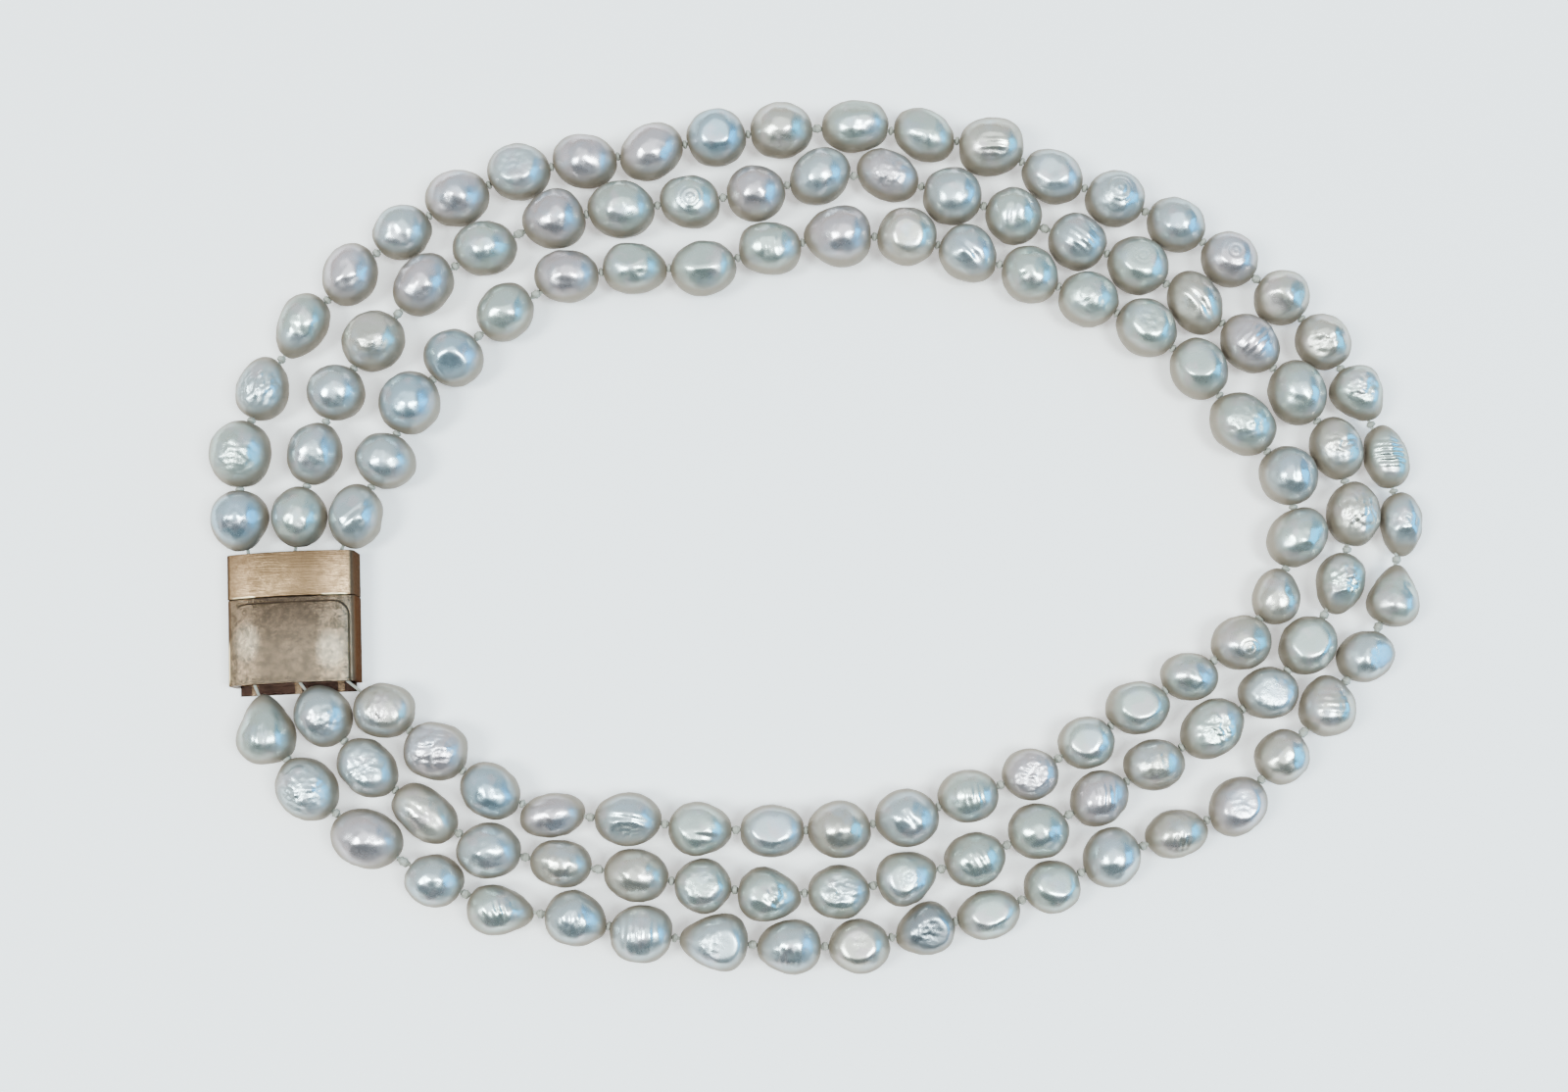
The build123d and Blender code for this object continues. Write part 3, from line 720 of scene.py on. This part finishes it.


# The clasp
# Painted shade on the clasp's walls, its wire eyes and its end recesses
WALL_SHADE = (0.11, 0.068, 0.043)
EYE_SHADE = (0.14, 0.09, 0.055)
RECESS_SHADE = (0.03, 0.016, 0.012)
# The painted dark reflection down the middle of the clasp: its half width and how softly it fades
MIDDLE_HALF, MIDDLE_SOFT = 3.0, 5.0
EYE_BESIDE = (0.6, 0.4)            # how far aside of its middle a wire eye's lighter painted shade fades in
EYE_BEYOND = (7.7, 7.8)            # and how far along the clasp
RECESS_BELOW = (4.9, 4.5)          # the height under which the end recess is painted in shade
WALL_SOFT, WALL_FULL = 0.75, 0.35  # how far in from its side the clasp's wall is painted in shade
# Painted shade in the crevice round the pad, stronger toward its right side
CREVICE_SHADE = (0.03, 0.02, 0.012)
# The colour of painted glints on the clasp's edges and lip
GLINT_GOLD = (1.0, 0.80, 0.50)
# Two painted highlights on the pad: their tone, places, size, reach and strength
HIGHLIGHT_GOLD = (0.58, 0.48, 0.36)
HIGHLIGHT_PLACES = ((-6.7, -3.6), (6.4, -5.3))
HIGHLIGHT_WIDE, HIGHLIGHT_LONG = 1.7, 2.4
HIGHLIGHT_REACH, HIGHLIGHT_STRENGTH = 2.4, 0.3
# The two edges of each line and how softly it ends
CREVICE = (0.02, 0.2, 0.12)
GLINT_ALONG, GLINT_ACROSS = (-9.0, -4.5, 1.5), (0.2 - CLASP_HALF_WIDTH, 0.4 - CLASP_HALF_WIDTH, 0.1)
# Where the painted glint on the cap's lip lies
LIP_ALONG, LIP_ACROSS = (SEAM_Y, SEAM_Y + 0.16, 0.08), (5.6, 8.6, 0.6)
CREVICE_GAINS = (-9.3, -7.0, 0.15, 0.9)  # from where to where it grows stronger, and from what to what
POLISHED_EDGE = 0.12
SHARP_EDGE = 35                    # degrees
WELD_WITHIN = 0.002
FLAT_WITHIN, SMOOTH_WITHIN = 1.0, 40  # degrees
# Scales of the wear on the metal, in waves a metre
HAIRLINE_SCALE = (160.0, 9000.0, 900.0)
SCRATCH_SCALE, PATCH_SCALE = 1500.0, 700.0
# The body, where it is worn, and the painted dark reflection down the middle of the clasp
POLISHED_TONES = (0.27, 0.19, 0.125), (0.125, 0.09, 0.06), (0.062, 0.045, 0.032)
BRUSHED_TONES = (0.42, 0.265, 0.145), (0.28, 0.17, 0.09), (0.13, 0.08, 0.042)
MIDDLE_REFLECTION_SHARE = 0.8


def scratches_group():
    """Fine wear on metal: hairlines along one way, small random scratches and dulled patches."""
    group = bpy.data.node_groups.new("fine_wear", "ShaderNodeTree")
    for name, kind, direction in (
        ("Vector", "NodeSocketVector", "INPUT"), ("Hairlines", "NodeSocketFloat", "INPUT"),
        ("Scratches", "NodeSocketFloat", "INPUT"), ("Height", "NodeSocketFloat", "OUTPUT"),
        ("Dull", "NodeSocketFloat", "OUTPUT"),
    ):
        group.interface.new_socket(name, in_out=direction, socket_type=kind)
    given, made = group.nodes.new("NodeGroupInput"), group.nodes.new("NodeGroupOutput")
    stretch = add_node(group, "ShaderNodeMapping")
    stretch.inputs["Scale"].default_value = HAIRLINE_SCALE
    group.links.new(given.outputs["Vector"], stretch.inputs["Vector"])
    hairs = noise_of(group, stretch.outputs[0], 1.0, 2.0)
    cloud = noise_of(group, given.outputs["Vector"], SCRATCH_SCALE, 6.0, 0.8)
    patches = noise_of(group, given.outputs["Vector"], PATCH_SCALE, 6.0, 0.8)
    height = maths(group, "ADD", maths(group, "MULTIPLY", hairs, given.outputs["Hairlines"]),
                   maths(group, "MULTIPLY", cloud, given.outputs["Scratches"]))
    group.links.new(height, made.inputs["Height"])
    group.links.new(remap(group, patches, 0.42, 0.60), made.inputs["Dull"])
    return group


def clasp_axes(tree):
    """Where a point is along the clasp's own axes, in millimetres from its middle."""
    mapping = add_node(tree, "ShaderNodeMapping", vector_type="TEXTURE")
    mapping.inputs["Location"].default_value = (CLASP_MIDDLE[0] * MM, CLASP_MIDDLE[1] * MM, 0)
    mapping.inputs["Rotation"].default_value = (0, 0, radians(CLASP_TURN))
    mapping.inputs["Scale"].default_value = (MM, MM, MM)
    tree.links.new(tree.nodes.new("ShaderNodeTexCoord").outputs["Object"], mapping.inputs["Vector"])
    parts = tree.nodes.new("ShaderNodeSeparateXYZ")
    tree.links.new(mapping.outputs[0], parts.inputs[0])
    return parts.outputs


def wrapped(tree, value, half):
    """A length folded back over and over into the range from -half to half."""
    node = tree.nodes.new("ShaderNodeMath")
    node.operation = "WRAP"
    tree.links.new(value, node.inputs[0])
    node.inputs[1].default_value, node.inputs[2].default_value = half, -half
    return node.outputs[0]


def band(tree, value, low, high, soft):
    """1 between two values, fading to 0 past both."""
    return maths(tree, "MULTIPLY", remap(tree, value, low - soft, low), remap(tree, value, high + soft, high))


def pad_distance(tree, x, y):
    """How far a point is outside the outline of the box's pad, in millimetres."""
    out_x = maths(tree, "SUBTRACT", maths(tree, "ABSOLUTE", x), PAD_HALF_WIDTH - PAD_CORNER)
    out_y = maths(tree, "SUBTRACT", y, PAD_TOP - PAD_CORNER)
    corner_x, corner_y = maths(tree, "MAXIMUM", out_x, 0.0), maths(tree, "MAXIMUM", out_y, 0.0)
    square = maths(tree, "ADD", maths(tree, "MULTIPLY", corner_x, corner_x),
                   maths(tree, "MULTIPLY", corner_y, corner_y))
    inner = maths(tree, "MINIMUM", maths(tree, "MAXIMUM", out_x, out_y), 0.0)
    return maths(tree, "SUBTRACT", maths(tree, "ADD", maths(tree, "SQRT", square), inner), PAD_CORNER)


def rose_gold(name, wear, tones, details, roughness, hairlines, scratches):
    """Rose-gold plate: dulled where it is handled, dark on its walls, with lines and patches of its own."""
    colour, worn, middle = tones
    material, tree, shader = blank_material(name)
    coordinates = tree.nodes.new("ShaderNodeTexCoord").outputs["Object"]
    marks = tree.nodes.new("ShaderNodeGroup")
    marks.node_tree = wear
    tree.links.new(coordinates, marks.inputs["Vector"])
    marks.inputs["Hairlines"].default_value = hairlines
    marks.inputs["Scratches"].default_value = scratches
    x, y, z = clasp_axes(tree)
    body = blend_colours(tree, marks.outputs["Dull"], colour, worn)
    # A painted dark reflection down the middle of the clasp
    dark_reflection_band = band(tree, x, -MIDDLE_HALF, MIDDLE_HALF, MIDDLE_SOFT)
    body = blend_colours(tree, maths(tree, "MULTIPLY", dark_reflection_band, MIDDLE_REFLECTION_SHARE), body, middle)
    aside = maths(tree, "ABSOLUTE", x)
    # Painted shade on the clasp's side walls, which are rougher too
    wall = remap(tree, aside, CLASP_HALF_WIDTH - WALL_SOFT, CLASP_HALF_WIDTH - WALL_FULL)
    body = blend_colours(tree, wall, body, WALL_SHADE)
    for mask, tone in details(tree, x, y):
        body = blend_colours(tree, mask, body, tone)
    # Painted shade deep in the end recesses, a little lighter on the wire eyes
    beside_eye = maths(tree, "ABSOLUTE", wrapped(tree, x, EYE_SPACING / 2))
    beyond = remap(tree, maths(tree, "ABSOLUTE", y), *EYE_BEYOND)
    eye = maths(tree, "MULTIPLY", remap(tree, beside_eye, *EYE_BESIDE), beyond)
    recess_shade = maths(tree, "MULTIPLY", remap(tree, z, *RECESS_BELOW), maths(tree, "SUBTRACT", 1.0, wall))
    body = blend_colours(tree, recess_shade, body, blend_colours(tree, eye, RECESS_SHADE, EYE_SHADE))
    tree.links.new(body, shader.inputs["Base Color"])
    dull = remap(tree, marks.outputs["Dull"], 0, 1, roughness, roughness + 0.1, smooth=False)
    tree.links.new(maths(tree, "ADD", dull, maths(tree, "MULTIPLY", wall, 0.3)), shader.inputs["Roughness"])
    bump = add_node(tree, "ShaderNodeBump", strength=0.9, distance=0.06 * MM)
    tree.links.new(marks.outputs["Height"], bump.inputs["Height"])
    tree.links.new(bump.outputs[0], shader.inputs["Normal"])
    set_sockets(shader, {"Metallic": 1.0, "Specular Tint": (0.30, 0.22, 0.16, 1)})
    return material


def highlight_patch(tree, x, y, east, north):
    """A soft patch that thumbs have rubbed bright."""
    aside = maths(tree, "DIVIDE", maths(tree, "SUBTRACT", x, east), HIGHLIGHT_WIDE)
    along = maths(tree, "DIVIDE", maths(tree, "SUBTRACT", y, north), HIGHLIGHT_LONG)
    away = maths(tree, "ADD", maths(tree, "MULTIPLY", aside, aside), maths(tree, "MULTIPLY", along, along))
    return remap(tree, away, HIGHLIGHT_REACH, 0.0, 0.0, HIGHLIGHT_STRENGTH)


def box_details(tree, x, y):
    """The dark crevice round the pad, the bright line down the left edge, and the rubbed patches."""
    # Painted shade in the crevice, growing stronger to the right
    crevice = band(tree, pad_distance(tree, x, y), *CREVICE)
    crevice = maths(tree, "MULTIPLY", crevice, remap(tree, x, *CREVICE_GAINS))
    # A painted glint down the left edge of the pad
    edge_glint = maths(tree, "MULTIPLY", band(tree, x, *GLINT_ACROSS), band(tree, y, *GLINT_ALONG))
    # Two painted highlights on the pad
    highlights = [(highlight_patch(tree, x, y, *place), HIGHLIGHT_GOLD) for place in HIGHLIGHT_PLACES]
    return (crevice, CREVICE_SHADE), (edge_glint, GLINT_GOLD), *highlights


def cap_details(tree, x, y):
    """The bright lip beside the seam, near both sides."""
    aside = maths(tree, "ABSOLUTE", x)
    lip_glint = maths(tree, "MULTIPLY", band(tree, y, *LIP_ALONG), band(tree, aside, *LIP_ACROSS))
    return ((lip_glint, GLINT_GOLD),)


def finished_metal(name, node, material):
    """A copy of a clasp half with its sharp edges rounded as polishing leaves them."""
    form = bmesh.new()
    form.from_mesh(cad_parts[node].data)
    bmesh.ops.remove_doubles(form, verts=form.verts, dist=WELD_WITHIN * MM)
    bmesh.ops.dissolve_limit(form, angle_limit=radians(FLAT_WITHIN), verts=form.verts, edges=form.edges)
    sharp = [edge for edge in form.edges
             if len(edge.link_faces) == 2 and edge.calc_face_angle(0) > radians(SHARP_EDGE)]
    bmesh.ops.bevel(form, geom=sharp, offset=POLISHED_EDGE * MM, segments=2, profile=0.5, affect="EDGES",
                    material=-1, clamp_overlap=True)
    mesh = bpy.data.meshes.new(name)
    form.to_mesh(mesh)
    form.free()
    mesh.shade_smooth()
    mesh.set_sharp_from_angle(angle=radians(SMOOTH_WITHIN))
    return new_piece(name, mesh, "rose_gold", material, node)


# The stage
Lamp = namedtuple("Lamp", "name east north up size radiance colour")
LAMP_DISTANCE = 1.2
LAMPS = [Lamp(*row) for row in (
    ("left_window", -0.50, -0.15, 0.849, (0.30, 0.42), 36.0, (0.88, 1.0, 1.0)),
    ("right_window", 0.36, -0.15, 0.92, (0.30, 0.42), 36.0, (0.86, 0.99, 1.0)),
    ("sky_window", 0.86, -0.02, 0.50, (0.75, 0.65), 4.2, (0.0, 0.50, 0.98)),
)]
LOW_WALLS, HIGH_WALLS, EAST_WALLS = (0.80, 0.70, 0.58), (0.95, 1.03, 1.06), (0.16, 0.44, 0.66)
OVERHEAD = (2.3, 2.5, 2.55)
DARK = (0.01, 0.01, 0.01)
SHADE_HALF_WIDTH = 0.86            # of the dark patch, in the sideways part of a way out
SHADE_MIDDLE, SHADE_HALF_HEIGHT = 0.57, 0.37
SHADE_EDGE = (1.2, 0.7)
# Between which parts of a way out each wall colour takes over: upward, to the east and overhead
WALLS_CHANGE, EAST_CHANGES, OVERHEAD_CHANGES = (-0.1, 0.6), (0.40, 0.75), (0.80, 0.95)


def add_lamp(lamp):
    light = bpy.data.lights.new(lamp.name, "AREA")
    light.shape = "RECTANGLE"
    light.size, light.size_y = lamp.size
    light.energy = lamp.radiance * pi * lamp.size[0] * lamp.size[1]
    light.color = lamp.colour
    holder = bpy.data.objects.new(lamp.name, light)
    toward = Vector((lamp.east, lamp.north, lamp.up)).normalized()
    holder.location = toward * LAMP_DISTANCE
    holder.rotation_euler = toward.to_track_quat("Z", "Y").to_euler()
    bpy.context.scene.collection.objects.link(holder)


def room():
    """A pale room, brighter overhead and bluer to the east, with a dark patch high up to the south."""
    world = bpy.data.worlds.new("room")
    bpy.context.scene.world = world
    world.use_nodes = True
    tree = world.node_tree
    background = tree.nodes["Background"]
    way = add_node(tree, "ShaderNodeSeparateXYZ")
    tree.links.new(tree.nodes.new("ShaderNodeTexCoord").outputs["Generated"], way.inputs[0])
    x, y, z = way.outputs
    above = maths(tree, "DIVIDE", maths(tree, "SUBTRACT", z, SHADE_MIDDLE), SHADE_HALF_HEIGHT)
    sideways = maths(tree, "POWER", maths(tree, "ABSOLUTE", maths(tree, "DIVIDE", x, SHADE_HALF_WIDTH)), 2.0)
    upward = maths(tree, "POWER", maths(tree, "ABSOLUTE", above), 2.0)
    shade = remap(tree, maths(tree, "ADD", sideways, upward), *SHADE_EDGE)
    shade = maths(tree, "MULTIPLY", shade, remap(tree, y, 0.0, -0.2))
    walls = blend_colours(tree, remap(tree, z, *WALLS_CHANGE), LOW_WALLS, HIGH_WALLS)
    east = maths(tree, "MULTIPLY", remap(tree, x, *EAST_CHANGES), remap(tree, z, 0.0, 0.2))
    walls = blend_colours(tree, east, walls, EAST_WALLS)
    lit = blend_colours(tree, remap(tree, z, *OVERHEAD_CHANGES), walls, OVERHEAD)
    scene_light = blend_colours(tree, shade, lit, DARK)
    tree.links.new(scene_light, background.inputs["Color"])
    background.inputs["Strength"].default_value = 1.0


def floor():
    form = bmesh.new()
    bmesh.ops.create_grid(form, x_segments=1, y_segments=1, size=2.0)
    mesh = bpy.data.meshes.new("floor")
    form.to_mesh(mesh)
    form.free()
    material, _, shader = blank_material("floor_paint")
    set_sockets(shader, {"Base Color": (0.95, 0.95, 0.95, 1), "Roughness": 0.7, "Specular IOR Level": 0.2,
                         "Emission Color": (1, 1, 1, 1), "Emission Strength": 0.5})
    mesh.materials.append(material)
    plane = bpy.data.objects.new("floor", mesh)
    bpy.context.scene.collection.objects.link(plane)


def camera():
    lens = bpy.data.cameras.new("camera")
    lens.lens, lens.sensor_width = LENS, SENSOR
    lens.clip_start, lens.clip_end = 0.01, 10
    holder = bpy.data.objects.new("camera", lens)
    tilt = radians(CAMERA_ELEVATION)
    back = Vector((0, -cos(tilt), sin(tilt)))
    holder.location = (Vector(AIM) + back * CAMERA_DISTANCE) * MM
    holder.rotation_euler = (pi / 2 - tilt, 0, 0)
    bpy.context.scene.collection.objects.link(holder)
    bpy.context.scene.camera = holder


# The necklace
camera()
room()
for lamp in LAMPS:
    add_lamp(lamp)
floor()

nacre_material, silk_material = nacre(), silk()
eye_line = CLASP_LENGTH / 2 - END_RECESS + EYE_REACH
for order, strand in enumerate(STRANDS):
    pearls = strand_pearls(strand)
    across = (order - 1) * EYE_SPACING
    eyes = on_clasp(across, eye_line, EYE_HEIGHT), on_clasp(across, -eye_line, EYE_HEIGHT)
    stops = [eyes[0]] + [middle for middle, _, _ in knot_middles(pearls)] + [eyes[1]]
    for pearl, before, after in zip(pearls, stops, stops[1:]):
        pearl.holes = [unit(before - pearl.middle), unit(after - pearl.middle)]
    half = len(pearls) // 2
    for label, first, group in (("a", 1, pearls[:half]), ("b", half + 1, pearls[half:])):
        name = f"pearls_{strand}_{label}"
        seed = 100 * order + (0 if label == "a" else 50)
        pearl_piece(name + "_nacre", name, group, range(first, first + len(group)), RELIEFS[strand],
                    OVERTONES[strand].replace(" ", ""), nacre_material, seed)
    strand_silk(f"silk_{strand}", f"thread_{strand}", pearls, eyes, silk_material)

wear = scratches_group()
polished = rose_gold("rose_gold_polished", wear, POLISHED_TONES, box_details,
                     roughness=0.13, hairlines=0.2, scratches=2.2)
finished_metal("clasp_box_polished", "clasp_box", polished)
brushed = rose_gold("rose_gold_brushed", wear, BRUSHED_TONES, cap_details,
                    roughness=0.32, hairlines=1.0, scratches=0.3)
finished_metal("clasp_cap_brushed", "clasp_cap", brushed)
